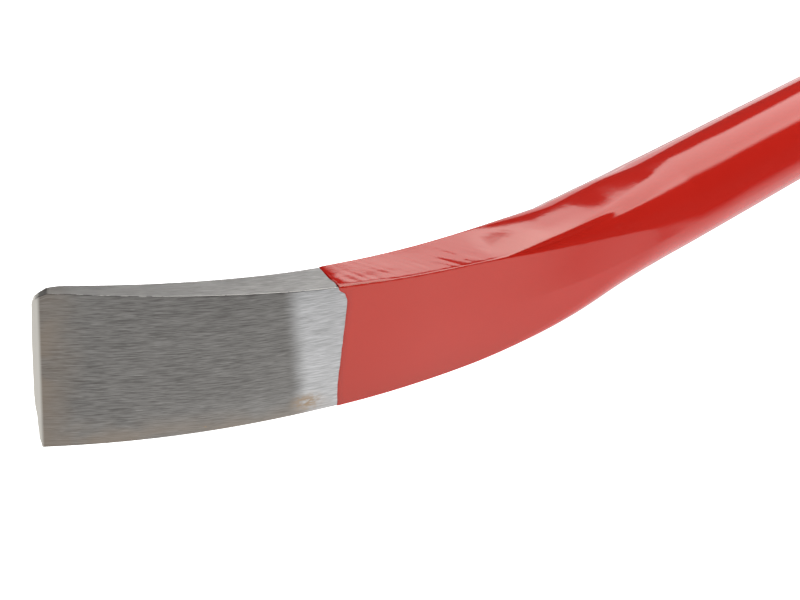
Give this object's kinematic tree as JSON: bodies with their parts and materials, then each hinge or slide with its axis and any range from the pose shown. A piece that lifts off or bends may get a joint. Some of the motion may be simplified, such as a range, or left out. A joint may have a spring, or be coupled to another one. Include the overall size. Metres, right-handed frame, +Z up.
{
  "type": "crowbar",
  "caption": "Heavy round steel crowbar with a flared, bent chisel end ground bare, a blunt point at the other end and a gloss red enamel coat.",
  "frame": {"origin": "on the ground, under the middle of the bar's box as it lies", "axes": "+X along the shank from the chisel to the point, +Y the way the chisel bends, +Z up"},
  "size_m": [1.4884, 0.07, 0.0484],
  "materials": {
    "ground_steel": "ground, with lengthwise lines and light rust",
    "red_enamel": "gloss over a rough forging"
  },
  "bodies": {
    "root": {"forged_bar": "ground_steel", "paint_coat": "red_enamel"}
  },
  "joints": []
}
